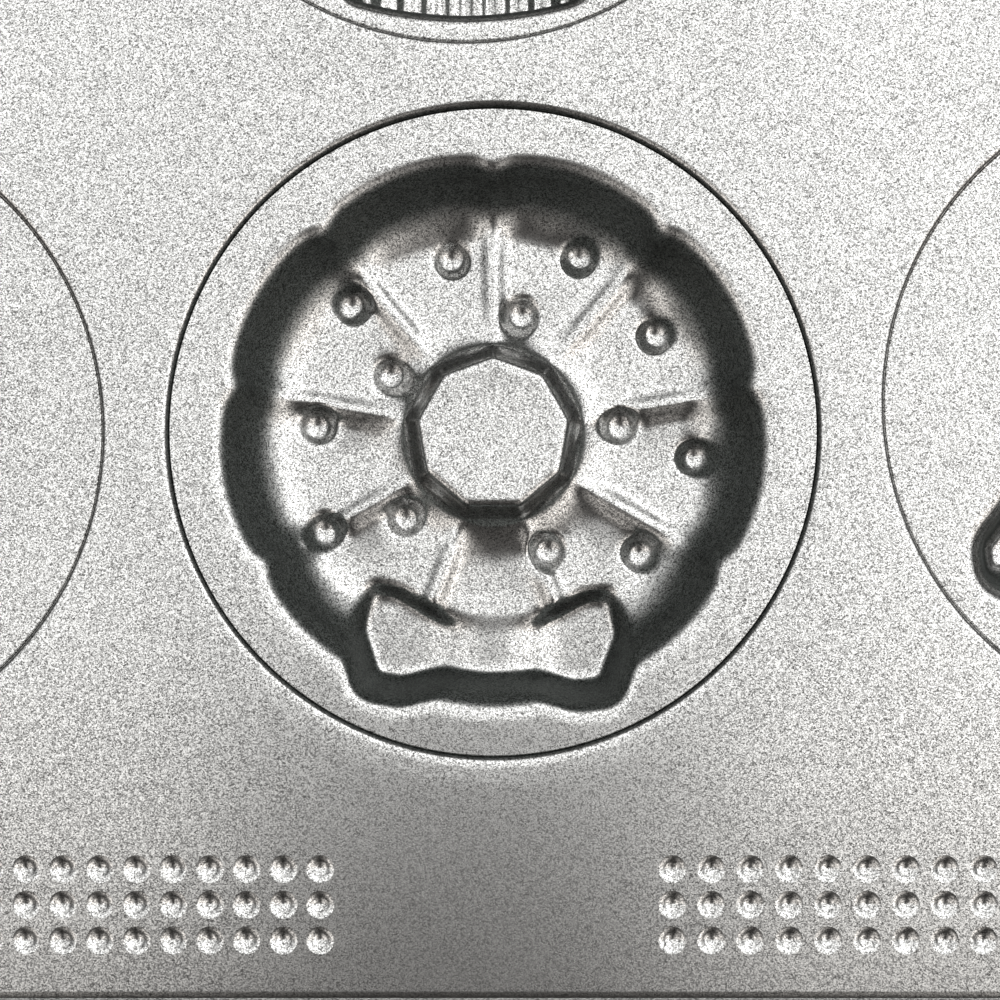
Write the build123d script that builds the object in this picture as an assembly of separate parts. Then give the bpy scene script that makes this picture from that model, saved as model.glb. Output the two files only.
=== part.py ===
"""Pressed steel cookie pan: a flat frame sheet with a wire-rolled rim, and six shaped cups seamed into it.

The frame sheet is one stamping. Its outer edge is rolled round a steel wire, and each of its round openings
has a turned-down collar. Each cup is a separate deep-drawn piece, set a little below the frame sheet, whose
skirt passes down inside the collar and is hooked out and up round the collar's lower edge.

Millimetres. +Z is up, the long side runs along X, and the front edge is at -Y. The origin is at the bottom
centre, on the plane that the undersides of the deepest pockets stand on.
"""
import os
from math import cos, hypot, pi, radians, sin, sqrt, tan

from build123d import *

# Layout of the pan
columns = 3
rows = 2
opening_diameter = 95.0     # inside of a collar
web = 9.6                   # frame sheet between two neighbouring openings
column_steps = (0.0, 0.0, 4.4)      # how far each column stands back, from the left
row_steps = (0.0, -4.2)             # how far each row stands to the right, from the front
side_margin = 30.0          # from an opening to the outer edge, left and right
end_margin = 35.8           # from an opening to the outer edge, front and rear
corner_radius = 22.0        # outer corners, over the rolled rim

# Sheet metal
frame_gauge = 0.6
cup_gauge = 0.6
bend_radius = 0.75          # outside radius of the collar's bend and of the cup's edge
cavity_depth = 13.0         # from a cup's flat land to its deepest floor
cup_set_down = 1.0          # how far a cup's land lies below the frame sheet

# Rolled rim
wire_diameter = 2.4
wire_clearance = 0.05       # between the wire and the sheet rolled round it
curl_sweep = 300.0          # degrees that the sheet turns round the wire

# Locked seam between a collar and a cup
collar_depth = 4.0          # from the top of the frame sheet to the collar's lower edge
seam_clearance = 0.05       # between the collar and the cup's metal, all round
hook_height = 1.8           # how far the cup's hook stands up outside the collar

# Dimpled grip strips along the front and rear edges
dimple_radius = 2.0         # of the ball that presses a dimple
dimple_depth = 0.8
dimple_pitch_y = 5.2
dimple_rows = 3
dimple_columns = 22         # in each of the two blocks of a strip
dimple_edge = 9.25          # from the outer edge of the pan to the first row
dimple_blocks = ((-25.2, -5.35), (26.1, 5.67))  # first column and step of each block

# Pressed shapes
wall_draft = 14.0           # degrees from upright
mouth_bevel = 1.5           # eased edge between a land and a wall
toe_bevel = 2.0             # eased edge between a wall and a floor
corner_ease = 0.4           # least rounding left on any corner, at the floor and at the land
bead_clearance = 0.4        # between the lowest point of a bead and the plane of the deepest floors
ridge_width = 1.6           # flat top of a raised line on a floor
ridge_height = 1.4
cuff_wall = (0.8, 5.0)      # toe and draft of the mitten's knitted cuff
rib_pitch = 3.6             # of the cuff's ribs
rib_width = 1.0
rib_height = 1.0
bead_radius = 3.25          # of the ball that presses a bead
bead_depth = 1.8            # how far a bead goes below its floor

# Wreath
wreath_lobes = 9
wreath_margin = 7.7         # from the middle of a lobe to the edge of the cup's land
wreath_lobe_bulge = 0.5     # how far a lobe's middle stands out over its ends
wreath_notch_depth = 2.2    # notch between two lobes, before it is rounded
wreath_notch_width = 5.2
wreath_outer_roll = 10.0    # radius between the outer wall and the floor
wreath_roll_reach = 0.2     # how far the outer roll's circle reaches past the wall's line
wreath_inner_roll = 8.0     # radius between the floor and the centre island
wreath_line_width = 1.0     # flat top of a ribbon line
wreath_line_steps = 4       # straight pieces in which a ribbon line climbs the outer roll
wreath_line_lift = 5.0      # degrees up the outer roll at which a ribbon line's long straight piece ends
bow_draft = 4.0
bow_toe = 0.9
bow_tilt = -1.5             # degrees about Z
island_radius = 11.5        # over the corners of the island's top
island_height = 6.3         # of the island's top over the floor
island_draft = 20.0
island_dish = 0.4           # how far the island's top is dished
wreath_beads = [            # where the thirteen berries are pressed
    (-6.2, 26.3), (13.0, 26.6), (4.2, 17.9), (-21.3, 19.3), (-15.4, 8.9), (24.5, 14.9), (19.1, 1.2),
    (30.4, -3.5), (-26.5, 1.2), (-25.3, -14.7), (-13.3, -12.7), (8.2, -17.7), (22.1, -18.0),
]

opening_radius = opening_diameter / 2
pitch = opening_diameter + web
pan_length = columns * opening_diameter + (columns - 1) * web + 2 * side_margin
pan_width = rows * opening_diameter + (rows - 1) * web + 2 * end_margin
land_z = cavity_depth + cup_gauge
top_z = land_z + cup_set_down
shallow_depth = cavity_depth - bead_depth - bead_clearance  # floor of the shapes that carry beads
island_depth = shallow_depth - island_height
curl_radius = wire_diameter / 2 + wire_clearance + frame_gauge
skirt_radius = opening_radius - seam_clearance
land_radius = skirt_radius - bend_radius
root_two = sqrt(2)
field_radius = land_radius - mouth_bevel - root_two * cup_gauge     # a wall stays inside this circle
figure_scale = field_radius / 44.35     # the plan shapes below are drawn in a circle of this radius
overrun = 1.0               # how far a solid reaches past the face that it meets


def swept_arc(centre, radius, start, end):
    """Arc in a sketch plane from one angle to another, in degrees."""
    angles = (start, (start + end) / 2, end)
    return ThreePointArc(*[(centre[0] + radius * cos(radians(a)), centre[1] + radius * sin(radians(a)))
                           for a in angles])


def face_within(lines):
    """Face inside a closed run of lines and arcs."""
    return make_face([edge for line in lines for edge in line.edges()])


def profile_ring(lines):
    """Solid of revolution about Z from lines and arcs drawn as (radius, height)."""
    return revolve(Plane.XZ * face_within(lines), Axis.Z)


def mirrored(points):
    """Closed outline from its right half, listed from top to bottom."""
    left = [(-x, y) for x, y in reversed(points) if x > 0]
    return make_face(Polyline(*points, *left, close=True))


def to_size(outline):
    """The outline scaled from the circle it is drawn in to this cup's field."""
    return scale(Sketch() + outline, figure_scale)


def inset(depth, toe, draft):
    """How far a wall and its toe lean in from the outline at the land."""
    return (depth - toe) * tan(radians(draft)) + toe


def rounded(outline, depth, toe=toe_bevel, draft=wall_draft):
    """The outline with its corners rounded so that they stay round down the wall and up the mouth's bevel."""
    convex = inset(depth, toe, draft) + corner_ease
    concave = mouth_bevel + root_two * cup_gauge + corner_ease
    core = offset(Sketch() + outline, -convex, kind=Kind.INTERSECTION)
    return offset(offset(core, convex + concave), -concave)


def eased(outline, depth, toe=toe_bevel, draft=wall_draft):
    """A drawn outline, scaled to this cup and rounded."""
    return rounded(to_size(outline), depth, toe, draft)


def capsule(start, end, radius):
    """Round-ended bar between two points."""
    length = hypot(end[0] - start[0], end[1] - start[1])
    middle = ((start[0] + end[0]) / 2, (start[1] + end[1]) / 2)
    bar = SlotCenterToCenter(length, 2 * radius)
    direction = Vector(end[0] - start[0], end[1] - start[1]).get_signed_angle(Vector(1, 0))
    return Pos(*middle) * Rot(0, 0, -direction) * bar


def pocket(outline, depth, grow=0.0, toe=toe_bevel, draft=wall_draft):
    """Plug of a pressed pocket: bevelled mouth, drafted wall and bevelled floor edge, oversize by grow."""
    mouth = offset(outline, mouth_bevel + root_two * grow)
    lip = extrude(mouth, amount=-(mouth_bevel + (root_two - 1) * grow), taper=45)
    toe_height = toe + (2 - root_two) * grow
    top = offset(outline, grow) if grow else outline
    wall = extrude(top, amount=-(depth + grow - toe_height), taper=draft)
    foot = extrude(wall.faces().sort_by(Axis.Z)[0], amount=toe_height, dir=(0, 0, -1), taper=45)
    plug = lip + wall + foot
    if not grow:
        plug += extrude(mouth, amount=overrun)
    return plug


def ridge_section(grow, width=ridge_width, height=ridge_height):
    """Section of a raised line, standing on y = 0 with sides at 45 degrees."""
    top = width / 2 - grow * tan(radians(22.5))
    foot = top + height + overrun
    return make_face(Polyline((-foot, -overrun), (foot, -overrun), (top, height), (-top, height), close=True))


def ridge_between(start, end, grow, width=ridge_width, height=ridge_height):
    """Straight raised line between two points in space."""
    run = end - start
    across = Vector(0, 0, 1).cross(run)
    upward = run.cross(across).normalized()
    plane = Plane(start - upward * grow, x_dir=across, z_dir=run)
    return extrude(plane * ridge_section(grow, width, height), amount=run.length)


def ridge(start, end, floor_depth, grow, width=ridge_width, height=ridge_height):
    """Straight raised line on a floor, between two points of the plan."""
    down = Vector(0, 0, floor_depth)
    return ridge_between(Vector(start) * figure_scale - down, Vector(end) * figure_scale - down,
                         grow, width, height)


def ridge_arc(centre, radius, start, end, floor_depth, grow):
    """Raised line on a floor along an arc, in degrees."""
    section = Plane.XZ * Pos(radius * figure_scale, -(floor_depth + grow)) * ridge_section(grow)
    arc = Rot(0, 0, start) * revolve(section, Axis.Z, end - start)
    return Pos(centre[0] * figure_scale, centre[1] * figure_scale) * arc


def bead(place, floor_depth, grow):
    """Ball that presses a round recess into a floor."""
    x, y = place[0] * figure_scale, place[1] * figure_scale
    return Pos(x, y, bead_radius - bead_depth - floor_depth) * Sphere(bead_radius + grow)


def stud(place, floor_depth, grow):
    """Ball that leaves a round bump standing on a floor."""
    x, y = place[0] * figure_scale, place[1] * figure_scale
    return Pos(x, y, bead_depth - bead_radius - floor_depth) * Sphere(bead_radius - grow)


def wreath_outline():
    """Nine shallow lobes round a circle, notched where the ribbon lines meet the wall."""
    step = 2 * pi / wreath_lobes
    middle_radius = land_radius - wreath_margin
    end_radius = middle_radius - wreath_lobe_bulge
    notch_radius = middle_radius - wreath_notch_depth
    half_notch = wreath_notch_width / 2 / end_radius
    edges = []
    for lobe in range(wreath_lobes):
        angle = pi / 2 + step * lobe
        turns = [(angle, notch_radius), (angle + half_notch, end_radius), (angle + step / 2, middle_radius),
                 (angle + step - half_notch, end_radius), (angle + step, notch_radius)]
        spots = [(radius * cos(turn), radius * sin(turn)) for turn, radius in turns]
        edges += [Line(*spots[:2]), ThreePointArc(*spots[1:4]), Line(*spots[3:])]
    return rounded(face_within(edges), cavity_depth, corner_ease)


def outer_roll_centre():
    """Radius and depth of the centre of the roll between the wreath's wall and its floor."""
    lean = radians(wall_draft)
    tangent_depth = shallow_depth - wreath_outer_roll * (1 - sin(lean))
    wall = land_radius - wreath_margin + wreath_roll_reach - tangent_depth * tan(lean)
    return wall - wreath_outer_roll * cos(lean), shallow_depth - wreath_outer_roll


def ribbon_line(angle, grow):
    """Raised line from the centre island over the floor and up the outer roll, at one angle in degrees."""
    centre_radius, centre_depth = outer_roll_centre()
    spots = [(island_radius / 2, shallow_depth)]
    for step in range(wreath_line_steps + 1):
        climb = radians(wreath_line_lift + (90 - wall_draft - wreath_line_lift) * step / wreath_line_steps)
        spots.append((centre_radius + wreath_outer_roll * sin(climb),
                      centre_depth + wreath_outer_roll * cos(climb)))
    east, north = cos(radians(angle)), sin(radians(angle))
    points = [Vector(radius * east, radius * north, -depth) for radius, depth in spots]
    return [ridge_between(start, end, grow, wreath_line_width) for start, end in zip(points, points[1:])]


def wreath_channel(grow):
    """Round-bottomed ring that shapes the wreath's floor between its wall and the centre island."""
    floor, slope = shallow_depth, radians(island_draft)
    lean = radians(wall_draft)
    centre_radius, centre_depth = outer_roll_centre()
    outer_centre = (centre_radius, -centre_depth)
    island_flat = 0.97 * island_radius * cos(pi / wreath_lobes)
    reach = (wreath_inner_roll + (floor - wreath_inner_roll - island_depth) * sin(slope)) / cos(slope)
    inner_centre = (island_flat + reach, wreath_inner_roll - floor)
    outer_roll = wreath_outer_roll + grow
    inner_roll = wreath_inner_roll + grow
    inner_top = (inner_centre[0] - inner_roll * cos(slope), inner_centre[1] - inner_roll * sin(slope))
    outer_top = (outer_centre[0] + outer_roll * cos(lean), outer_centre[1] - outer_roll * sin(lean))
    lid = 2 * overrun
    return profile_ring([
        Polyline(inner_top, (0, inner_top[1]), (0, lid), (land_radius, lid), (land_radius, -bend_radius),
                 outer_top),
        swept_arc(outer_centre, outer_roll, -wall_draft, -90),
        Line((outer_centre[0], -floor - grow), (inner_centre[0], -floor - grow)),
        swept_arc(inner_centre, inner_roll, 270, 180 + island_draft),
    ])


def wreath_island(grow):
    """Nine-sided raised centre with sloping walls and a slightly dished top."""
    slope = radians(island_draft)
    height = shallow_depth - island_depth + overrun
    radius = island_radius
    flat = radius * cos(pi / wreath_lobes) - grow * (1 - sin(slope)) / cos(slope)
    foot = RegularPolygon((flat + height * tan(slope)) / cos(pi / wreath_lobes), wreath_lobes, rotation=90)
    block = extrude(Pos(0, 0, -(island_depth + grow + height)) * foot, amount=height, taper=island_draft)
    dish_radius = (radius ** 2 + island_dish ** 2) / (2 * island_dish)
    return block - Pos(0, 0, dish_radius - island_dish - island_depth - grow) * Sphere(dish_radius)


def bow_outline():
    """Ribbon bow across the foot of the wreath, a little tilted as on the pan."""
    half = [(0, -27.6), (6.0, -27.4), (14.0, -23.2), (19.0, -22.6), (21.2, -30.0), (18.4, -38.4),
            (13.0, -39.2), (6.5, -37.4), (0, -37.8)]
    outline = eased(mirrored(half), cavity_depth, bow_toe, bow_draft)
    middle = 30 * figure_scale
    return Pos(-0.5, -middle) * Rot(0, 0, bow_tilt) * Pos(0, middle) * outline


def wreath(grow):
    """Wreath of nine ribbon-bound lobes with berries and a bow."""
    body = pocket(wreath_outline(), cavity_depth, grow, corner_ease) & wreath_channel(grow)
    step = 360 / wreath_lobes
    lines = [piece for line in range(wreath_lobes) for piece in ribbon_line(90 + step * line, grow)]
    raised = wreath_island(grow) + lines
    body = body - raised + [bead(place, shallow_depth, grow) for place in wreath_beads]
    return body + pocket(bow_outline(), cavity_depth, grow, bow_toe, bow_draft)


def tree(grow):
    """Three-tiered fir tree with garlands, baubles and a trunk."""
    half = [(0, 44.0), (15.5, 20.5), (11.0, 17.5), (23.5, -1.0), (18.0, -4.5), (31.5, -24.5)]
    floor = shallow_depth
    trunk = Pos(0, -27) * Rectangle(20, 24)
    body = pocket(eased(mirrored(half), floor), floor, grow)
    body += pocket(eased(trunk, cavity_depth), cavity_depth, grow)
    garlands = [((-10.5, 16.0), (7.0, 21.5)), ((-17.0, -4.5), (14.0, 5.0)), ((-24.0, -20.5), (20.5, -8.0))]
    baubles = [(0, 27.5), (-3.5, 11.0), (6.5, 12.5), (-7.0, -9.5), (8.0, -4.5), (-8.5, 4.5), (15.0, -16.0)]
    body -= [ridge(start, end, floor, grow) for start, end in garlands]
    return body + [bead(place, floor, grow) for place in baubles]


def bell(grow):
    """Hand bell with a ring, two bands and a clapper."""
    half = [(0, 33.0), (9.5, 32.5), (18.0, 24.5), (21.0, 6.0), (24.0, -8.0), (33.5, -20.5), (32.5, -28.0)]
    floor = shallow_depth
    body = pocket(eased(mirrored(half), floor), floor, grow)
    body += pocket(to_size(Pos(0, -28.0) * Circle(11.0)), cavity_depth, grow)
    body += pocket(to_size(Pos(0, 33.0) * Circle(7.8)), cavity_depth, grow)
    bands = [(-7.0, 26.0), (-15.0, 32.0), (16.5, 22.0)]
    body -= [ridge((-reach, height), (reach, height), floor, grow) for height, reach in bands]
    return body + [bead((across, 4.5), floor, grow) for across in (-9.0, 0, 9.0)]


def gingerbread(grow):
    """Rounded cookie figure with buttons, icing cuffs and a smile."""
    shapes = Pos(0, 24.5) * Circle(13.5)
    shapes += capsule((0, 10), (0, -8), 14.5)
    shapes += capsule((-25, 6), (25, 6), 8.5)
    for side in (-1, 1):
        shapes += capsule((5 * side, -10), (14.5 * side, -30), 9.5)
    outline = offset(offset(to_size(shapes), 3.0), -3.0)
    floor = cavity_depth
    buttons = [(0, 8.0), (0, -1.0), (0, -10.0), (-4.5, 27.5), (4.5, 27.5)]
    raised = [stud(place, floor, grow) for place in buttons]
    raised.append(ridge_arc((0, 25.5), 6.5, 215, 325, floor, grow))
    for side in (-1, 1):
        raised.append(ridge((22 * side, -4), (22 * side, 16), floor, grow))
        raised.append(ridge((1.0 * side, -28.5), (25.0 * side, -20.0), floor, grow))
    return pocket(outline, floor, grow) - raised


def mitten(grow):
    """Knitted mitten with a ribbed, curved cuff and a pressed snow crystal."""
    hand = capsule((-3.0, 19.5), (-3.0, -8.0), 18.5) + Pos(-3.0, -18.0) * Rectangle(35, 22)
    hand += capsule((8.0, -8.5), (23.5, 7.0), 8.5)
    hand = offset(offset(to_size(hand), 3.0), -3.0)
    half_width, top, side, foot = 17.4, -25.0, -40.4, -43.0
    cuff = face_within([
        Polyline((half_width, side), (half_width, top), (-half_width, top), (-half_width, side)),
        ThreePointArc((-half_width, side), (0, foot), (half_width, side)),
    ])
    body = pocket(hand, shallow_depth, grow)
    body += pocket(eased(cuff, cavity_depth, *cuff_wall), cavity_depth, grow, *cuff_wall)
    ribs = int(1.7 * half_width / rib_pitch)
    raised = []
    for rib in range(ribs):
        across = (rib - (ribs - 1) / 2) * rib_pitch
        raised.append(ridge((across, foot), (across, top), cavity_depth, grow, rib_width, rib_height))
    centre = Vector(-3.0, 10.0)
    for arm in range(3):
        along = Vector(cos(radians(30 + 60 * arm)), sin(radians(30 + 60 * arm))) * 11.0
        raised.append(ridge(centre - along, centre + along, shallow_depth, grow))
    return body - raised


def star(grow):
    """Five-pointed star with a deeper star inside it and five round bosses."""
    def outline(outer, inner):
        points = []
        for corner in range(10):
            radius = inner if corner % 2 else outer
            angle = radians(90 + 36 * corner)
            points.append((radius * cos(angle), radius * sin(angle)))
        return make_face(Polyline(*points, close=True))
    floor = shallow_depth
    body = pocket(eased(outline(46.5, 23.0), floor), floor, grow)
    body += pocket(eased(outline(40.0, 18.5), cavity_depth, 1.2), cavity_depth, grow, 1.2)
    angles = [radians(90 + 72 * arm) for arm in range(5)]
    return body - [stud((9.5 * cos(angle), 9.5 * sin(angle)), cavity_depth, grow) for angle in angles]


def cup(figure):
    """Deep-drawn cup with its land at z = 0: the pressed figure, the land, the skirt and the seam's hook."""
    collar_foot = -(collar_depth - cup_set_down) - seam_clearance
    collar_outer = opening_radius + frame_gauge + seam_clearance
    hook_outer = collar_outer + cup_gauge
    skirt_inner = skirt_radius - cup_gauge
    inner_bend = bend_radius - cup_gauge
    hook_top = collar_foot + hook_height
    foot = collar_foot - cup_gauge
    rim = profile_ring([
        Line((0, 0), (land_radius, 0)),
        swept_arc((land_radius, -bend_radius), bend_radius, 90, 0),
        Polyline((skirt_radius, -bend_radius), (skirt_radius, collar_foot), (collar_outer, collar_foot),
                 (collar_outer, hook_top), (hook_outer, hook_top), (hook_outer, collar_foot)),
        swept_arc((hook_outer - cup_gauge, collar_foot), cup_gauge, 0, -90),
        Line((hook_outer - cup_gauge, foot), (skirt_inner + cup_gauge, foot)),
        swept_arc((skirt_inner + cup_gauge, collar_foot), cup_gauge, 270, 180),
        Line((skirt_inner, collar_foot), (skirt_inner, -bend_radius)),
        swept_arc((land_radius, -bend_radius), inner_bend, 0, 90),
        Polyline((land_radius, -cup_gauge), (0, -cup_gauge), (0, 0)),
    ])
    return rim + figure(cup_gauge) - figure(0.0)


def place(column, row):
    """Centre of one opening in the plan of the pan, from the front left."""
    x = (column - (columns - 1) / 2) * pitch + row_steps[row % len(row_steps)]
    y = (row - (rows - 1) / 2) * pitch + column_steps[column % len(column_steps)]
    return x, y


def curl_section():
    """Section of the rolled rim about the wire's centre, with +X pointing out of the pan."""
    inner = wire_diameter / 2 + wire_clearance
    end = 90 - curl_sweep
    return face_within([
        swept_arc((0, 0), curl_radius, 90, end),
        Line((curl_radius * cos(radians(end)), curl_radius * sin(radians(end))),
             (inner * cos(radians(end)), inner * sin(radians(end)))),
        swept_arc((0, 0), inner, end, 90),
        Line((0, inner), (0, curl_radius)),
    ])


def wire_path():
    """Centre line of the wire: the pan's outline, drawn in by the radius of the rolled rim."""
    outline = RectangleRounded(pan_length - 2 * curl_radius, pan_width - 2 * curl_radius,
                               corner_radius - curl_radius)
    return Pos(0, 0, top_z - curl_radius) * outline


def swept_round(section):
    """Sweeps a section, drawn with +X outwards, once round the wire's centre line."""
    path = wire_path().wire()
    start = path @ 0
    along = path % 0
    outward = along.cross(Vector(0, 0, 1))
    if outward.dot(Vector(start.X, start.Y, 0)) < 0:
        outward = -outward
    section_plane = Plane(start, x_dir=outward, z_dir=outward.cross(Vector(0, 0, 1)))
    return sweep(section_plane * section, path)


def dimples():
    """Balls that press the dimples, with their centres on one level above the frame sheet."""
    spots = []
    for end in (-1, 1):
        for row in range(dimple_rows):
            y = end * (pan_width / 2 - dimple_edge - row * dimple_pitch_y)
            for first, step in dimple_blocks:
                spots += [(first + column * step, y) for column in range(dimple_columns)]
    return spots


def collar():
    """Turned-down edge of one opening, from its bend to its lower edge, about the opening's centre."""
    bend_start = opening_radius + bend_radius
    outer = opening_radius + frame_gauge
    return profile_ring([
        swept_arc((bend_start, top_z - bend_radius), bend_radius, 90, 180),
        Polyline((opening_radius, top_z - bend_radius), (opening_radius, top_z - collar_depth),
                 (outer, top_z - collar_depth), (outer, top_z - bend_radius)),
        swept_arc((bend_start, top_z - bend_radius), bend_radius - frame_gauge, 180, 90),
        Line((bend_start, top_z - frame_gauge), (bend_start, top_z)),
    ])


def frame_sheet():
    """The frame sheet with its dimples, collars and rolled rim."""
    outline = RectangleRounded(pan_length - 2 * curl_radius, pan_width - 2 * curl_radius,
                               corner_radius - curl_radius)
    spots = [place(column, row) for column in range(columns) for row in range(rows)]
    holes = Sketch() + [Pos(*spot) * Circle(opening_radius + bend_radius) for spot in spots]
    sheet = extrude(Pos(0, 0, top_z - frame_gauge) * (outline - holes), amount=frame_gauge)
    ball_z = top_z + dimple_radius - dimple_depth
    ball = Sphere(dimple_radius)
    shell = Sphere(dimple_radius + frame_gauge)
    below = Pos(0, 0, top_z - frame_gauge / 2) * Box(pan_length, pan_width, 4 * dimple_radius,
                                                     align=(Align.CENTER, Align.CENTER, Align.MAX))
    bump = shell & Pos(0, 0, -ball_z) * below
    sheet += [Pos(x, y, ball_z) * bump for x, y in dimples()]
    sheet -= [Pos(x, y, ball_z) * ball for x, y in dimples()]
    sheet += [Pos(*spot) * collar() for spot in spots]
    return sheet + swept_round(curl_section())


def main():
    os.makedirs("parts", exist_ok=True)
    figures = {
        "cup_tree": (tree, 0, 0), "cup_wreath": (wreath, 1, 0), "cup_bell": (bell, 2, 0),
        "cup_gingerbread": (gingerbread, 0, 1), "cup_mitten": (mitten, 1, 1), "cup_star": (star, 2, 1),
    }
    nodes = {"frame_sheet": frame_sheet(), "rim_wire": swept_round(Circle(wire_diameter / 2))}
    for name, (figure, column, row) in figures.items():
        nodes[name] = Pos(*place(column, row), land_z) * cup(figure)
    for name, shape in nodes.items():
        export_step(shape, f"parts/{name}.step")
        print(name, len(shape.solids()), "solid", round(shape.volume), "mm3")


main()
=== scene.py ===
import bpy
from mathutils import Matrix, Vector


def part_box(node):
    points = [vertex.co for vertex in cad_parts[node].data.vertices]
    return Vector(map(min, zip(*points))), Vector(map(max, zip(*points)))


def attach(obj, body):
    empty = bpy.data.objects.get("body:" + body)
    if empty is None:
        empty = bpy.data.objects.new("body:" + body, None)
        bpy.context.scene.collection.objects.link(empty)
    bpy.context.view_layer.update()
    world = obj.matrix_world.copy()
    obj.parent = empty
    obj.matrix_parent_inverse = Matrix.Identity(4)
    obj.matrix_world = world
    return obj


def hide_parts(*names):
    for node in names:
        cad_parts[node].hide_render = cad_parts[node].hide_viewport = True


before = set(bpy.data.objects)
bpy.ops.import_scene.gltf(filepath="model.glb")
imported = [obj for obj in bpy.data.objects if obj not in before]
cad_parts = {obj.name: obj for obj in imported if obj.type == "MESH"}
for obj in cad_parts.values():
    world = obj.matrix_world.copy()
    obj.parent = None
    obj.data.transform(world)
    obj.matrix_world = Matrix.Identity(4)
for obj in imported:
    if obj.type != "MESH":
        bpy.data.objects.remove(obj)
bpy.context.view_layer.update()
import math
import bpy
import numpy as np
from mathutils import Vector
from mathutils.bvhtree import BVHTree
from mathutils.geometry import delaunay_2d_cdt

mm = 0.001
gauge = 0.6 * mm  # sheet metal of the cups, the sheet and its roll
opening = 47.5 * mm  # radius of the sheet's round openings
print("frame loaded")


def addObject(name, data):
    thing = bpy.data.objects.new(name, data)
    bpy.context.scene.collection.objects.link(thing)
    return thing


# Shader maths: a socket that can be added, subtracted and multiplied
class Sock:
    def __init__(self, tree, out):
        self.tree, self.out = tree, out

    def math(self, operation, *others):
        return make(self.tree, "ShaderNodeMath", {"operation": operation}, dict(enumerate((self, *others))))

    def __add__(self, other):
        return self.math("ADD", other)

    def __radd__(self, other):
        return self.math("ADD", other)

    def __sub__(self, other):
        return self.math("SUBTRACT", other)

    def __rsub__(self, other):
        return (self * -1.0) + other

    def __mul__(self, other):
        return self.math("MULTIPLY", other)

    def __rmul__(self, other):
        return self.math("MULTIPLY", other)

    def ramp(self, low, high, start=0.0, end=1.0):
        return make(self.tree, "ShaderNodeMapRange", {"interpolation_type": "SMOOTHSTEP"},
                    {"Value": self, "From Min": low, "From Max": high, "To Min": start, "To Max": end})

    def mixColour(self, a, b):
        return make(self.tree, "ShaderNodeMix", {"data_type": "RGBA"}, {0: self, 6: a, 7: b}, 2)


def plug(tree, slot, value):
    if isinstance(value, Sock):
        tree.links.new(value.out, slot)
    elif isinstance(value, bpy.types.NodeSocket):
        tree.links.new(value, slot)
    else:
        slot.default_value = value


# Every node of a shader or Geometry Nodes tree is made here: type, settings, then values or links by socket
def newNode(tree, kind, settings=None, inputs=None):
    node = tree.nodes.new(kind)
    for name, value in (settings or {}).items():
        setattr(node, name, value)
    for name, value in (inputs or {}).items():
        plug(tree, node.inputs[name], value)
    return node


def make(tree, kind, settings=None, inputs=None, out=0):
    return Sock(tree, newNode(tree, kind, settings, inputs).outputs[out])


def newMaterial(name, build):
    material = bpy.data.materials.new(name)
    material.use_nodes = True
    tree = material.node_tree
    tree.nodes.clear()
    newNode(tree, "ShaderNodeOutputMaterial", {}, {"Surface": build(tree)})
    return material


# Non-stick coating: a metallic grain of dark and light flakes, with painted shade where the metal is steep:
# there the base colour is darkened and the roughness raised
coatLook = {"dark": (0.08, 0.078, 0.076, 1), "light": (0.92, 0.915, 0.90, 1), "edge": (0.45, 0.45, 0.45, 1),
            "rough": 0.21, "roughSpread": 0.06, "grain": 5000.0, "flake": 6000.0, "broad": 38.0,
            "grainShare": 1.5, "flakeShare": 0.95, "broadShare": 0.12,
            "bump": 0.09, "bumpDeep": 0.06 * mm, "bumpGrain": 0.6, "bumpFlake": 0.4,
            "paintedShadeFrom": 0.17, "paintedShadeTo": 0.55, "paintedShadeColour": (0.19, 0.205, 0.2, 1), "steepRough": 0.5}


def coating(tree):
    c = coatLook
    place = make(tree, "ShaderNodeTexCoord", out=3)
    grain = make(tree, "ShaderNodeTexNoise", {},
                 {"Vector": place, "Scale": c["grain"], "Detail": 2.0, "Roughness": 0.7})
    broad = make(tree, "ShaderNodeTexNoise", {}, {"Vector": place, "Scale": c["broad"], "Detail": 2.0})
    flake = make(tree, "ShaderNodeTexVoronoi", {"feature": "F1"}, {"Vector": place, "Scale": c["flake"]}, 1)
    pick = make(tree, "ShaderNodeSeparateColor", {}, {"Color": flake}, 0)
    tone = ((grain - 0.5) * c["grainShare"] + (pick - 0.5) * c["flakeShare"]
            + (broad - 0.5) * c["broadShare"] + 0.5)
    held = make(tree, "ShaderNodeMapRange", {}, {"Value": tone, "From Min": 0.0, "From Max": 1.0})
    flat = held.mixColour(c["dark"], c["light"])
    # Painted shade: where the metal leans, the base colour is multiplied toward a dark grey, darkening
    # walls, bevels and dimples as their shade would
    paintedShadeMask = make(tree, "ShaderNodeAttribute", {"attribute_name": "paintedShadeMask"}, {}, 2)
    paintedShadeMask = paintedShadeMask.ramp(c["paintedShadeFrom"], c["paintedShadeTo"])
    shade = make(tree, "ShaderNodeMix", {"data_type": "RGBA", "blend_type": "MULTIPLY"},
                 {0: 1.0, 6: flat, 7: c["paintedShadeColour"]}, 2)
    colour = paintedShadeMask.mixColour(flat, shade)
    rough = tone.ramp(0.0, 1.0, c["rough"] + c["roughSpread"], c["rough"] - c["roughSpread"])
    rough = rough * (1.0 - paintedShadeMask) + paintedShadeMask * c["steepRough"]
    height = grain * c["bumpGrain"] + pick * c["bumpFlake"]
    normal = make(tree, "ShaderNodeBump", {},
                  {"Height": height, "Strength": c["bump"], "Distance": c["bumpDeep"]})
    return make(tree, "ShaderNodeBsdfPrincipled", {}, {
        "Base Color": colour, "Metallic": 1.0, "Roughness": rough, "Normal": normal,
        "Specular Tint": c["edge"]})


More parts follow.
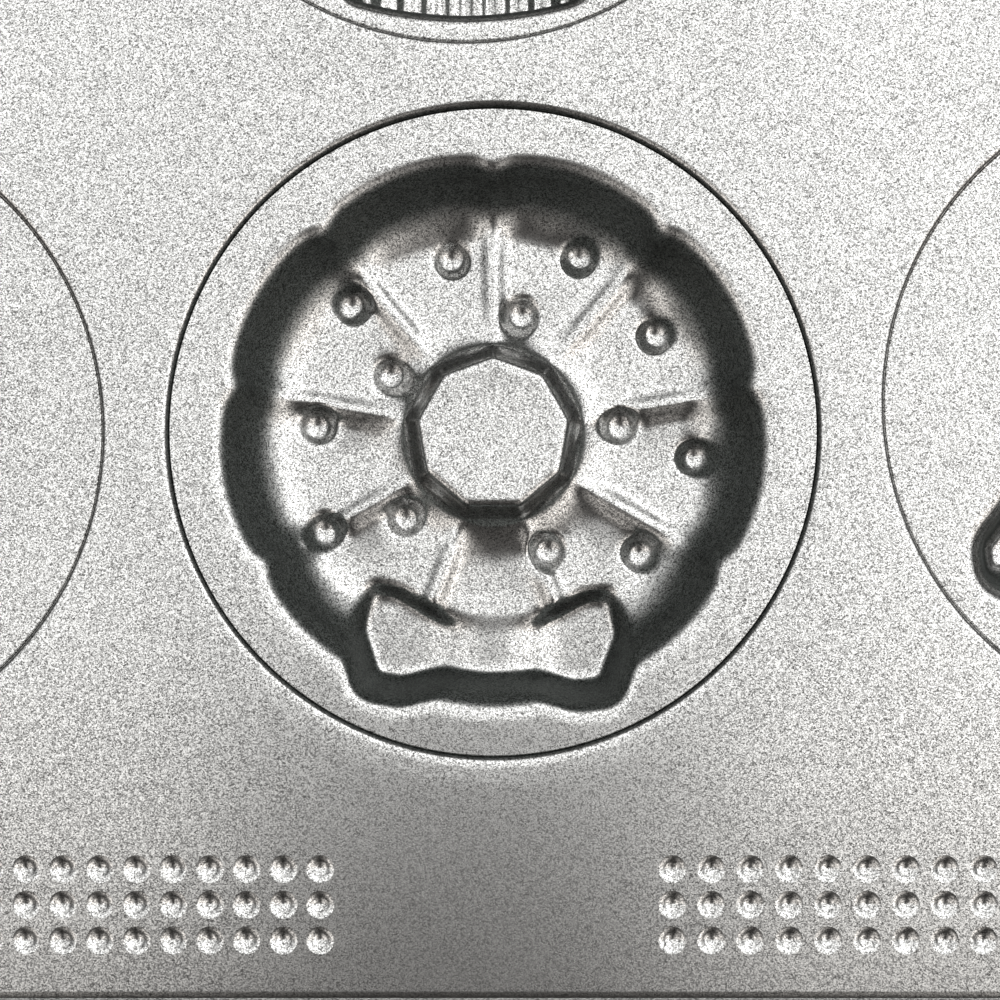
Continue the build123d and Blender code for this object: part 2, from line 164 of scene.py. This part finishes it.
# The wire in the roll: plain steel with a fine grain
wireLook = {"grain": 900.0, "low": 0.2, "high": 0.8, "dark": (0.42, 0.42, 0.42, 1),
            "light": (0.62, 0.62, 0.61, 1), "smooth": 0.3, "rough": 0.45}


def bareSteel(tree):
    w = wireLook
    place = make(tree, "ShaderNodeTexCoord", out=3)
    grain = make(tree, "ShaderNodeTexNoise", {}, {"Vector": place, "Scale": w["grain"], "Detail": 3.0})
    colour = grain.ramp(w["low"], w["high"]).mixColour(w["dark"], w["light"])
    return make(tree, "ShaderNodeBsdfPrincipled", {}, {
        "Base Color": colour, "Metallic": 1.0,
        "Roughness": grain.ramp(w["low"], w["high"], w["smooth"], w["rough"])})


coatMat = newMaterial("nonstickCoating", coating)
wireMat = newMaterial("bareSteel", bareSteel)
print("materials made")


# Painted shade on steep metal: how much each point gets from its lean, none at a plain cup's seam,
# less on the wreath's island and more on the wreath's wall
paintedShadeLook = {"seam": (46.5 * mm, 48.8 * mm), "island": 17.0 * mm, "islandShare": 0.6,
             "wall": (30.0 * mm, 45.0 * mm), "wallPower": 0.6}


# Writes the mask of the painted shade: the lean of each point, with the zone rules above
def markPaintedShade(mesh, seamSpots=(), wreathSpots=()):
    look = paintedShadeLook
    normals, spots = np.zeros(len(mesh.vertices) * 3), np.zeros(len(mesh.vertices) * 3)
    mesh.vertices.foreach_get("normal", normals)
    mesh.vertices.foreach_get("co", spots)
    spots = spots.reshape(-1, 3)
    lean = 1.0 - np.abs(normals.reshape(-1, 3)[:, 2])
    for centre in seamSpots:
        away = np.hypot(spots[:, 0] - centre[0], spots[:, 1] - centre[1])
        lean[(away > look["seam"][0]) & (away < look["seam"][1])] = 0
    for centre in wreathSpots:
        away = np.hypot(spots[:, 0] - centre[0], spots[:, 1] - centre[1])
        lean[away < look["island"]] *= look["islandShare"]
        wall = (away > look["wall"][0]) & (away < look["wall"][1])
        lean[wall] = lean[wall] ** look["wallPower"]
    mesh.attributes.new("paintedShadeMask", "FLOAT", "POINT").data.foreach_set("value", lean.astype(np.float32))


# The parts of one mesh, gathered before it is made
class Gather:
    def __init__(self):
        self.verts, self.faces, self.count = [], [], 0

    def add(self, verts, faces):
        self.verts.append(np.asarray(verts, float))
        self.faces += (np.asarray(faces, int) + self.count).tolist()
        self.count += len(verts)

    def piece(self, name, material, slot, seamSpots=(), wreathSpots=()):
        mesh = bpy.data.meshes.new(name)
        mesh.from_pydata(np.concatenate(self.verts).tolist(), [], self.faces)
        mesh.validate()
        mesh.shade_smooth()
        # Each piece gets its mask of painted shade from its lean
        markPaintedShade(mesh, seamSpots, wreathSpots)
        mesh.materials.append(material)
        piece = addObject(name, mesh)
        return piece


def gridFaces(rings, segments, flip=False):
    i, j = np.meshgrid(np.arange(rings - 1), np.arange(segments), indexing="ij")
    k = (j + 1) % segments
    here, onward = i * segments, (i + 1) * segments
    quad = np.stack([here + j, onward + j, onward + k, here + k], -1).reshape(-1, 4)
    return quad[:, ::-1] if flip else quad


def arcPoints(centre, radius, start, end, count):
    a = np.radians(np.linspace(start, end, count))
    return [(centre[0] + radius * math.cos(t), centre[1] + radius * math.sin(t)) for t in a]


def fullTurn(count):
    return np.arange(count) * 2 * np.pi / count


def circlePoints(centre, radius, count):
    return [(centre[0] + radius * math.cos(t), centre[1] + radius * math.sin(t)) for t in fullTurn(count)]


def lathe(gather, centre, profile, segments):
    a = fullTurn(segments)
    r, z = np.array(profile, float).T
    x = centre[0] + r[:, None] * np.cos(a)
    y = centre[1] + r[:, None] * np.sin(a)
    gather.add(np.stack([x, y, np.repeat(z[:, None], segments, 1)], -1).reshape(-1, 3),
               gridFaces(len(profile), segments))


# Cups: the CAD node's two faces are read as heights, softened as pressed metal is, and laid on a round grid.
# The nudge keeps the rays off the edges between triangles
cupLook = {"step": 0.25 * mm, "reach": 49.0 * mm, "rayAbove": 30 * mm, "rayBelow": -10 * mm,
           "nudge": 0.013 * mm, "figure": 46.4 * mm, "land": 47.2 * mm, "landZ": 13.6 * mm,
           "ringsTop": 116, "aroundTop": 560, "ringsUnder": 56, "aroundUnder": 280,
           "clear": 0.05 * mm, "collarFoot": 3.0 * mm, "hook": 1.8 * mm, "hookPoints": 5,
           "bend": 0.25 * mm, "bendPoints": 7}


def centreOf(node):
    low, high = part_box(node)
    return (low.x + high.x) / 2, (low.y + high.y) / 2


def landLevel(above):
    return cupLook["landZ"] - (0.0 if above else gauge)


cupCentres = {node: centreOf(node) for node in sorted(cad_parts) if node.startswith("cup_")}


def heights(bvh, centre, above):
    step = cupLook["step"] * 1
    count = int(round(2 * cupLook["reach"] / step)) + 1
    line = (np.arange(count) - (count - 1) / 2) * step
    start, way = (cupLook["rayAbove"], -1.0) if above else (cupLook["rayBelow"], 1.0)
    made = np.full((count, count), landLevel(above))
    ray = Vector((0, 0, way))
    limit = cupLook["figure"]
    for i, x in enumerate(line):
        for j, y in enumerate(line):
            if x * x + y * y < limit * limit:
                spot = Vector((centre[0] + x + cupLook["nudge"], centre[1] + y + cupLook["nudge"], start))
                hit = bvh.ray_cast(spot, ray)[0]
                if hit is not None:
                    made[i, j] = hit.z
    return line, made


def soften(made, step, sigma):
    fx = np.fft.fftfreq(made.shape[0], step)[:, None]
    fy = np.fft.rfftfreq(made.shape[1], step)[None, :]
    keep = np.exp(-2 * (np.pi * sigma) ** 2 * (fx * fx + fy * fy))
    return np.fft.irfft2(np.fft.rfft2(made) * keep, made.shape)


def smooth(t):
    t = np.clip(t, 0, 1)
    return t * t * (3 - 2 * t)


# The knot of the bow is pressed less deep than its loops
knotLook = {"floor": 10.8 * mm, "half": 7.0 * mm, "power": 4, "lift": 0.95, "from": 20.0 * mm}


def softKnot(line, made, level):
    k = knotLook
    below = np.maximum(level - k["floor"] - made, 0)
    near = k["lift"] * np.exp(-(line[:, None] / k["half"]) ** k["power"]) * (line[None, :] < -k["from"])
    return made + below * near


# Width of the softening in each zone
softLook = {"fine": 0.45 * mm, "wide": 0.75 * mm, "island": 0.5 * mm, "mouth": 0.75 * mm, "foot": 1.6 * mm}
# Where a zone takes over, by radius, depth or y: not at all at the first value, wholly at the second
zoneLook = {"plainMouth": (4.5 * mm, 1.0 * mm), "middle": (21 * mm, 17 * mm),
            "islandTop": (9.5 * mm, 7.0 * mm), "islandFoot": (9.0 * mm, 11.5 * mm),
            "wallFoot": (28 * mm, 33 * mm), "wallDeep": (2 * mm, 6 * mm),
            "wall": (33 * mm, 36 * mm), "mouth": (4 * mm, 1 * mm), "aboveBow": (-27 * mm, -22 * mm)}
berryLook = {"below": 0.12 * mm, "fromY": -21.5 * mm, "reach": 0.9 * mm, "gain": 3}


def share(value, zone):
    start, whole = zoneLook[zone]
    return smooth((value - start) / (whole - start))


# Pressed edges are soft: softest at the foot of the walls, crisp at the island's top and at the berries
def pressed(line, made, level, wreath):
    step = line[1] - line[0]
    if not wreath:
        fine, wide = (soften(made, step, softLook[name]) for name in ("fine", "wide"))
        return fine + (wide - fine) * share(level - wide, "plainMouth")
    berry = (made < level - knotLook["floor"] - berryLook["below"]) & (line[None, :] > berryLook["fromY"])
    near = smooth(berryLook["gain"] * soften(berry.astype(float), step, berryLook["reach"]))
    made = softKnot(line, made, level)
    maps = {name: soften(made, step, width) for name, width in softLook.items()}
    away = np.hypot(line[:, None], line[None, :])
    depth = level - maps["wide"]
    clear = share(line[None, :], "aboveBow")
    middle = share(away, "middle")
    out = maps["wide"] + (maps["island"] - maps["wide"]) * middle * share(depth, "islandTop")
    out += (maps["foot"] - out) * middle * share(depth, "islandFoot")
    out += (maps["foot"] - out) * share(away, "wallFoot") * share(depth, "wallDeep") * clear
    out += (maps["mouth"] - out) * share(away, "wall") * share(depth, "mouth") * clear
    return out + (maps["fine"] - out) * near


def sample(line, made, x, y):
    step = line[1] - line[0]
    u, v = (x - line[0]) / step, (y - line[0]) / step
    i = np.clip(u.astype(int), 0, len(line) - 2)
    j = np.clip(v.astype(int), 0, len(line) - 2)
    u, v = u - i, v - j
    return ((made[i, j] * (1 - u) + made[i + 1, j] * u) * (1 - v)
            + (made[i, j + 1] * (1 - u) + made[i + 1, j + 1] * u) * v)


def roundGrid(gather, centre, rings, around, line, made, extra, under):
    c = cupLook
    r = np.linspace(0, opening - c["clear"] - gauge if under else c["land"], rings + 1)[1:]
    a = fullTurn(around)
    x = (r[:, None] * np.cos(a)).ravel()
    y = (r[:, None] * np.sin(a)).ravel()
    z = sample(line, made, x, y) + extra(x, y)
    tip = float(sample(line, made, np.zeros(1), np.zeros(1))[0] + extra(np.zeros(1), np.zeros(1))[0])
    verts = np.stack([centre[0] + x, centre[1] + y, np.maximum(z, 0.0)], -1)
    verts = np.concatenate([verts, [[centre[0], centre[1], max(tip, 0.0)]]])
    gather.add(verts, gridFaces(rings, around, flip=under))
    j = np.arange(around)
    fan = np.stack([np.full(around, len(verts) - 1), j, (j + 1) % around], -1)
    if under:
        fan = fan[:, ::-1]
    gather.faces += (fan + gather.count - len(verts)).tolist()


def noExtra(x, y):
    return np.zeros_like(x)


# Wreath: the floor between two ribbon lines is a shallow pillow
pillow = {"lobes": 9, "inner": 12.5 * mm, "outer": 34.0 * mm, "deep": 0.3 * mm, "power": 0.8,
          "bowFrom": 24 * mm, "bowOver": 3 * mm, "bowHalf": 24 * mm}


def wreathPillows(x, y):
    r, a = np.hypot(x, y), np.degrees(np.arctan2(y, x)) - 90
    across = np.cos(np.radians(a * pillow["lobes"] / 2)) ** 2
    along = np.clip((r - pillow["inner"]) / (pillow["outer"] - pillow["inner"]), 0, 1)
    bow = 1 - np.clip((-y - pillow["bowFrom"]) / pillow["bowOver"], 0, 1) * (np.abs(x) < pillow["bowHalf"])
    return -pillow["deep"] * (1 - across) * np.sin(np.pi * along) ** pillow["power"] * bow


# The cup's turned edge: over its bend, down inside the collar and hooked round its foot
def cupEdge():
    c = cupLook
    skirt, top = opening - c["clear"], c["landZ"]
    foot = top - c["collarFoot"] - c["clear"]
    out = opening + gauge + c["clear"] + gauge
    g, b = gauge, c["bend"]
    hook = foot + c["hook"]
    profile = arcPoints((c["land"], top - b), b, 90, 0, c["bendPoints"])
    profile += [(skirt, foot), (out - g, foot), (out - g, hook), (out, hook), (out, foot)]
    profile += arcPoints((out - g, foot), g, 0, -90, c["hookPoints"])
    profile += arcPoints((skirt, foot), g, -90, -180, c["hookPoints"])
    return profile + [(skirt - g, top - g)]


def buildCup(node, centre):
    isWreath = node == "cup_wreath"
    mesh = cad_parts[node].data
    mesh.calc_loop_triangles()
    triangles = [tuple(t.vertices) for t in mesh.loop_triangles]
    bvh = BVHTree.FromPolygons([v.co for v in mesh.vertices], triangles)
    extra = wreathPillows if isWreath else noExtra
    gather = Gather()
    for above, rings, around in ((True, "ringsTop", "aroundTop"), (False, "ringsUnder", "aroundUnder")):
        line, made = heights(bvh, centre, above)
        made = pressed(line, made, landLevel(above), isWreath)
        roundGrid(gather, centre, cupLook[rings], cupLook[around], line, made, extra, not above)
    lathe(gather, centre, cupEdge(), cupLook["aroundUnder"])
    return gather.piece(node[4:] + "Cup", coatMat, "nonstick", [] if isWreath else [centre],
                        [centre] if isWreath else [])


for node, centre in cupCentres.items():
    piece = buildCup(node, centre)
    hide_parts(node)
    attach(piece, "root")
    print("cup", node, len(piece.data.polygons))


# Frame sheet: plate with collared holes
sheetLook = {"top": 14.6 * mm, "corner": 22.0 * mm, "cornerPoints": 16, "curl": 1.85 * mm,
             "bend": 1.0 * mm, "bendPoints": (8, 4), "collar": 4.0 * mm, "around": 360,
             "fall": 0.045 * mm, "fallTo": 52.2 * mm, "fallRings": 6, "fallPower": 1.3,
             "weld": 1e-7, "holeKeep": 0.9999, "gripKeep": 0.98}
gripLook = {"rows": 3, "columns": 22, "pitchY": 5.2 * mm, "edge": 9.25 * mm, "around": 24,
            "blocks": ((-25.2 * mm, -5.35 * mm), (26.1 * mm, 5.67 * mm)),
            "ball": 2.0 * mm, "ballFrom": 2, "ballEnd": -88, "ballPoints": 6, "deep": 0.8 * mm,
            "lip": 0.45 * mm, "shoulder": ((0.0, 0.0), (0.35, 0.02 * mm), (1.0, 0.10 * mm)),
            "underReach": 0.9, "underPoints": 5, "underShoulder": ((0.2, 0.05 * mm), (0.0, 0.0))}
sheetLow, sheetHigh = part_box("frame_sheet")
halfX, halfY = (sheetHigh.x - sheetLow.x) / 2, (sheetHigh.y - sheetLow.y) / 2


def roundedOutline(inset):
    s = sheetLook
    hx, hy, r = halfX - inset, halfY - inset, s["corner"] - inset
    points = []
    for qx, qy, start in ((1, 1, 0), (-1, 1, 90), (-1, -1, 180), (1, -1, 270)):
        points += arcPoints((qx * (hx - r), qy * (hy - r)), r, start, start + 90, s["cornerPoints"])
    return points


# A dimple's rim is where the ball meets the sheet, and a lip more
gripRim = math.sqrt(gripLook["ball"] ** 2 - (gripLook["ball"] - gripLook["deep"]) ** 2) + gripLook["lip"]
gripSpots = []
for end in (-1, 1):
    for row in range(gripLook["rows"]):
        y = end * (halfY - gripLook["edge"] - row * gripLook["pitchY"])
        for first, pitch in gripLook["blocks"]:
            gripSpots += [(first + k * pitch, y) for k in range(gripLook["columns"])]


# The plate between the holes and the dimples, filled with triangles
def plateFlat():
    s = sheetLook
    loops = [roundedOutline(s["curl"])]
    loops += [circlePoints(c, s["fallTo"], s["around"]) for c in cupCentres.values()]
    loops += [circlePoints(c, gripRim, gripLook["around"]) for c in gripSpots]
    points, edges = [], []
    for loop in loops:
        first = len(points)
        points += loop
        edges += [(first + k, first + (k + 1) % len(loop)) for k in range(len(loop))]
    verts, _, faces, *_ = delaunay_2d_cdt([Vector(p) for p in points], edges, [], 1, s["weld"])
    xy = np.array([(v.x, v.y) for v in verts])
    tri = np.array([f for f in faces if len(f) == 3])
    mid = xy[tri].mean(1)
    keep = np.ones(len(tri), bool)
    for c in cupCentres.values():
        keep &= np.hypot(mid[:, 0] - c[0], mid[:, 1] - c[1]) > s["fallTo"] * s["holeKeep"]
    for c in gripSpots:
        keep &= np.hypot(mid[:, 0] - c[0], mid[:, 1] - c[1]) > gripRim * s["gripKeep"]
    return xy, tri[keep]


def buildSheet():
    s = sheetLook
    gather = Gather()
    xy, tri = plateFlat()
    a, b, c = xy[tri[:, 0]], xy[tri[:, 1]], xy[tri[:, 2]]
    up = ((b - a)[:, 0] * (c - a)[:, 1] - (b - a)[:, 1] * (c - a)[:, 0]) > 0
    tri[~up] = tri[~up][:, ::-1]
    for z, faces in ((s["top"], tri), (s["top"] - gauge, tri[:, ::-1])):
        gather.add(np.column_stack([xy, np.full(len(xy), z)]), faces)
    edge = opening + s["bend"]
    fallR = np.linspace(s["fallTo"], edge, s["fallRings"])
    along = (fallR - edge) / (s["fallTo"] - edge)
    drop = s["fall"] * (1 - along ** s["fallPower"]) ** 2
    top = s["top"] - s["fall"]
    profile = [(r, s["top"] - d) for r, d in zip(fallR, drop)]
    profile += arcPoints((edge, top - s["bend"]), s["bend"], 90, 180, s["bendPoints"][0])[1:]
    profile += [(opening, s["top"] - s["collar"]), (opening + gauge, s["top"] - s["collar"])]
    profile += arcPoints((edge, top - s["bend"]), s["bend"] - gauge, 180, 90, s["bendPoints"][1])
    profile += [(r, s["top"] - gauge - d) for r, d in list(zip(fallR, drop))[-2::-1]]
    for c in cupCentres.values():
        lathe(gather, c, profile, s["around"])
    plain = [c for node, c in cupCentres.items() if node != "cup_wreath"]
    return gather.piece("frameSheet", coatMat, "nonstick", plain)


frameSheet = buildSheet()
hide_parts("frame_sheet")
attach(frameSheet, "root")
print("sheet", len(frameSheet.data.polygons))


# Geometry Nodes helpers
def geometryTree(name, inputs):
    tree = bpy.data.node_groups.new(name, "GeometryNodeTree")
    tree.interface.new_socket("Geometry", in_out="OUTPUT", socket_type="NodeSocketGeometry")
    ids = {}
    for label, kind in inputs:
        ids[label] = tree.interface.new_socket(label, in_out="INPUT", socket_type=kind).identifier
    return tree, ids, newNode(tree, "NodeGroupInput"), newNode(tree, "NodeGroupOutput")


def bake(tree, ids, values, name):
    host = addObject(name + "Host", bpy.data.meshes.new(name + "Host"))
    modifier = host.modifiers.new("nodes", "NODES")
    modifier.node_group = tree
    for label, value in values.items():
        modifier[ids[label]] = value
    bpy.context.view_layer.update()
    evaluated = host.evaluated_get(bpy.context.evaluated_depsgraph_get())
    mesh = bpy.data.meshes.new_from_object(evaluated)
    host.modifiers.remove(modifier)
    bpy.data.objects.remove(host)
    mesh.name = name
    mesh.shade_smooth()
    # A piece without a mask of painted shade gets one from its lean
    if not mesh.attributes.get("paintedShadeMask"):
        markPaintedShade(mesh)
    piece = addObject(name, mesh)
    return piece


# Rolled rim: a curled section swept along the rounded outline
rimLook = {"sweep": 300.0, "cornerPoints": 20, "sectionPoints": 17}


def rimTree():
    tree, ids, source, sink = geometryTree("rolledRim", [
        ("Length", "NodeSocketFloat"), ("Width", "NodeSocketFloat"), ("Corner", "NodeSocketFloat"),
        ("Corner Points", "NodeSocketInt"), ("Height", "NodeSocketFloat"), ("Section", "NodeSocketObject"),
        ("Material", "NodeSocketMaterial")])
    box = newNode(tree, "GeometryNodeCurvePrimitiveQuadrilateral", {"mode": "RECTANGLE"},
                  {"Width": source.outputs["Length"], "Height": source.outputs["Width"]})
    bent = newNode(tree, "GeometryNodeFilletCurve", {"mode": "POLY"},
                   {"Curve": box.outputs[0], "Radius": source.outputs["Corner"],
                    "Count": source.outputs["Corner Points"]})
    lift = newNode(tree, "ShaderNodeCombineXYZ", {}, {"Z": source.outputs["Height"]})
    moved = newNode(tree, "GeometryNodeTransform", {},
                    {"Geometry": bent.outputs[0], "Translation": lift.outputs[0]})
    section = newNode(tree, "GeometryNodeObjectInfo", {}, {"Object": source.outputs["Section"]})
    swept = newNode(tree, "GeometryNodeCurveToMesh", {},
                    {"Curve": moved.outputs[0], "Profile Curve": section.outputs["Geometry"]})
    real = newNode(tree, "GeometryNodeRealizeInstances", {}, {"Geometry": swept.outputs[0]})
    last = newNode(tree, "GeometryNodeSetMaterial", {},
                   {"Geometry": real.outputs[0], "Material": source.outputs["Material"]})
    tree.links.new(last.outputs[0], sink.inputs[0])
    return tree, ids


def sectionCurve():
    r = rimLook
    outer, inner, end = sheetLook["curl"], sheetLook["curl"] - gauge, 90 - r["sweep"]
    points = arcPoints((0, 0), outer, 90, end, r["sectionPoints"])
    points += arcPoints((0, 0), inner, end, 90, r["sectionPoints"])
    curve = bpy.data.curves.new("rimSection", "CURVE")
    curve.dimensions = "2D"
    spline = curve.splines.new("POLY")
    spline.points.add(len(points) - 1)
    for spot, (x, y) in zip(spline.points, points):
        spot.co = (x, y, 0, 1)
    spline.use_cyclic_u = True
    return addObject("rimSection", curve)


section = sectionCurve()
tree, ids = rimTree()
rolledRim = bake(tree, ids, {
    "Length": 2 * (halfX - sheetLook["curl"]), "Width": 2 * (halfY - sheetLook["curl"]),
    "Corner": sheetLook["corner"] - sheetLook["curl"], "Corner Points": rimLook["cornerPoints"],
    "Height": sheetLook["top"] - sheetLook["curl"], "Section": section, "Material": coatMat},
    "rolledRim")
bpy.data.objects.remove(section)
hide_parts("frame_sheet")
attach(rolledRim, "root")
print("rim", len(rolledRim.data.polygons))


# Grip dimples: one pressed bowl, laid out in rows and columns
def bowlObject():
    g = gripLook
    gather = Gather()
    ball, lip, end = g["ball"], g["lip"], g["ballEnd"]
    middle = (0, ball - g["deep"])
    reach = math.degrees(math.asin((gripRim - g["ballFrom"] * lip) / ball))
    inner = [(gripRim - lips * lip, -drop) for lips, drop in g["shoulder"]]
    inner += arcPoints(middle, ball, -90 + reach, end, g["ballPoints"])
    outer = arcPoints(middle, ball + gauge, end, -90 + reach * g["underReach"], g["underPoints"])
    outer += [(gripRim - lips * lip, -gauge - drop) for lips, drop in g["underShoulder"]]
    lathe(gather, (0, 0), inner, g["around"])
    lathe(gather, (0, 0), outer, g["around"])
    return gather.piece("gripBowl", coatMat, "nonstick")


def gripTree():
    tree, ids, source, sink = geometryTree("gripRows", [
        ("Bowl", "NodeSocketObject"), ("Columns", "NodeSocketInt"), ("Rows", "NodeSocketInt"),
        ("First", "NodeSocketVector"), ("Column Step", "NodeSocketVector"), ("Row Step", "NodeSocketVector"),
        ("Material", "NodeSocketMaterial")])
    bowl = newNode(tree, "GeometryNodeObjectInfo", {},
                   {"Object": source.outputs["Bowl"], "As Instance": True})
    line = newNode(tree, "GeometryNodeMeshLine", {"mode": "OFFSET"},
                   {"Count": source.outputs["Columns"], "Start Location": source.outputs["First"],
                    "Offset": source.outputs["Column Step"]})
    stack = newNode(tree, "GeometryNodeMeshLine", {"mode": "OFFSET"},
                    {"Count": source.outputs["Rows"], "Offset": source.outputs["Row Step"]})
    rows = newNode(tree, "GeometryNodeInstanceOnPoints", {},
                   {"Points": stack.outputs[0], "Instance": line.outputs[0]})
    spots = newNode(tree, "GeometryNodeRealizeInstances", {}, {"Geometry": rows.outputs[0]})
    placed = newNode(tree, "GeometryNodeInstanceOnPoints", {},
                     {"Points": spots.outputs[0], "Instance": bowl.outputs["Geometry"]})
    real = newNode(tree, "GeometryNodeRealizeInstances", {}, {"Geometry": placed.outputs[0]})
    last = newNode(tree, "GeometryNodeSetMaterial", {},
                   {"Geometry": real.outputs[0], "Material": source.outputs["Material"]})
    tree.links.new(last.outputs[0], sink.inputs[0])
    return tree, ids


bowl = bowlObject()
tree, ids = gripTree()
for end, endName in ((-1, "front"), (1, "rear")):
    for (first, pitch), sideName in zip(gripLook["blocks"], ("Left", "Right")):
        grip = bake(tree, ids, {
            "Bowl": bowl, "Columns": gripLook["columns"], "Rows": gripLook["rows"],
            "First": (first, end * (halfY - gripLook["edge"]), sheetLook["top"]),
            "Column Step": (pitch, 0.0, 0.0), "Row Step": (0.0, -end * gripLook["pitchY"], 0.0),
            "Material": coatMat}, endName + sideName + "Grip")
        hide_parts("frame_sheet")
        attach(grip, "root")
bpy.data.objects.remove(bowl)
print("grips made")

# The wire in the roll is carried over with its own steel
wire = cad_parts["rim_wire"]
wire.data.materials.clear()
wire.data.materials.append(wireMat)


# Floor, light and camera
floorLook = {"half": 60, "z": -0.2 * mm, "colour": (0.86, 0.86, 0.86, 1), "paler": 1.02, "rough": 0.6,
             "grain": 3.0}


def paleFloor(tree):
    f = floorLook
    place = make(tree, "ShaderNodeTexCoord", out=3)
    noise = make(tree, "ShaderNodeTexNoise", {}, {"Vector": place, "Scale": f["grain"]})
    shade = noise.mixColour(f["colour"], tuple(min(1, v * f["paler"]) for v in f["colour"][:3]) + (1,))
    return make(tree, "ShaderNodeBsdfPrincipled", {}, {"Base Color": shade, "Roughness": f["rough"]})


floorMesh = bpy.data.meshes.new("floor")
floorCorners = [(x * floorLook["half"], y * floorLook["half"], floorLook["z"])
                for x, y in ((-1, -1), (1, -1), (1, 1), (-1, 1))]
floorMesh.from_pydata(floorCorners, [], [(0, 1, 2, 3)])
floorMesh.materials.append(newMaterial("paleFloor", paleFloor))
floor = addObject("floor", floorMesh)

# The key light points at the middle of the pan
keyLook = {"place": (0.9, 0.9, 1.2), "size": (1.2, 0.8), "power": 2.0}
keyData = bpy.data.lights.new("key", "AREA")
keyData.shape = "RECTANGLE"
keyData.size, keyData.size_y = keyLook["size"]
keyData.energy = keyLook["power"]
key = addObject("key", keyData)
key.location = keyLook["place"]
key.rotation_euler = Vector(keyLook["place"]).to_track_quat("Z", "Y").to_euler()

# A bright dome, dark towards the horizon, with a narrow dim strip and a broad one in front of the zenith
domeLook = {"strength": 1.45, "low": 0.04, "lowTo": 0.12, "bandFrom": 0.75, "east": 0.3, "ringFrom": 0.99,
            "ringTo": 0.90, "ring": 0.18, "warmTo": 0.4, "cool": (0.985, 0.99, 0.985, 1),
            "warm": (1.0, 0.955, 0.91, 1)}
dimStrips = [{"east": -0.015, "core": 0.08, "edge": 0.14, "start": 0.045, "full": 0.11, "dim": 0.85},
             {"east": 0.0, "core": 0.15, "edge": 0.7, "start": 0.10, "full": 0.32, "dim": 0.9}]
scene = bpy.context.scene
scene.view_settings.view_transform = "Standard"
world = bpy.data.worlds.new("studio")
world.use_nodes = True
scene.world = world
sky = world.node_tree
sky.nodes.clear()
toward = make(sky, "ShaderNodeTexCoord", out=0)
split = newNode(sky, "ShaderNodeSeparateXYZ", {}, {0: toward})
east, north, up = (Sock(sky, out) for out in split.outputs)
d = domeLook
level = up.ramp(d["lowTo"], d["bandFrom"])
level = level * (up.ramp(d["ringTo"], d["ringFrom"]) * -d["ring"] + (1.0 + d["ring"]))
for strip in dimStrips:
    aside = (east - strip["east"]).math("ABSOLUTE").ramp(strip["core"], strip["edge"])
    ahead = (north * -1.0).ramp(strip["start"], strip["full"])
    level = level * (1.0 - (1.0 - aside) * ahead * strip["dim"])
level = level * (1.0 + east * d["east"]) * d["strength"] + d["low"]
tint = (north * -1.0).ramp(0.0, d["warmTo"]).mixColour(d["cool"], d["warm"])
background = make(sky, "ShaderNodeBackground", {}, {"Color": tint, "Strength": level})
newNode(sky, "ShaderNodeOutputWorld", {}, {"Surface": background})

# The camera looks straight down with the front edge at the bottom of the picture
cameraLook = {"place": (0.0010, -0.0622, 0.3148), "turn": (0.0, 0.0, 0.0), "lens": 74.2, "near": 0.01}
cameraData = bpy.data.cameras.new("camera")
cameraData.lens = cameraLook["lens"]
cameraData.clip_start = cameraLook["near"]
camera = addObject("camera", cameraData)
camera.location = cameraLook["place"]
camera.rotation_euler = cameraLook["turn"]
scene.camera = camera
print("stage made")
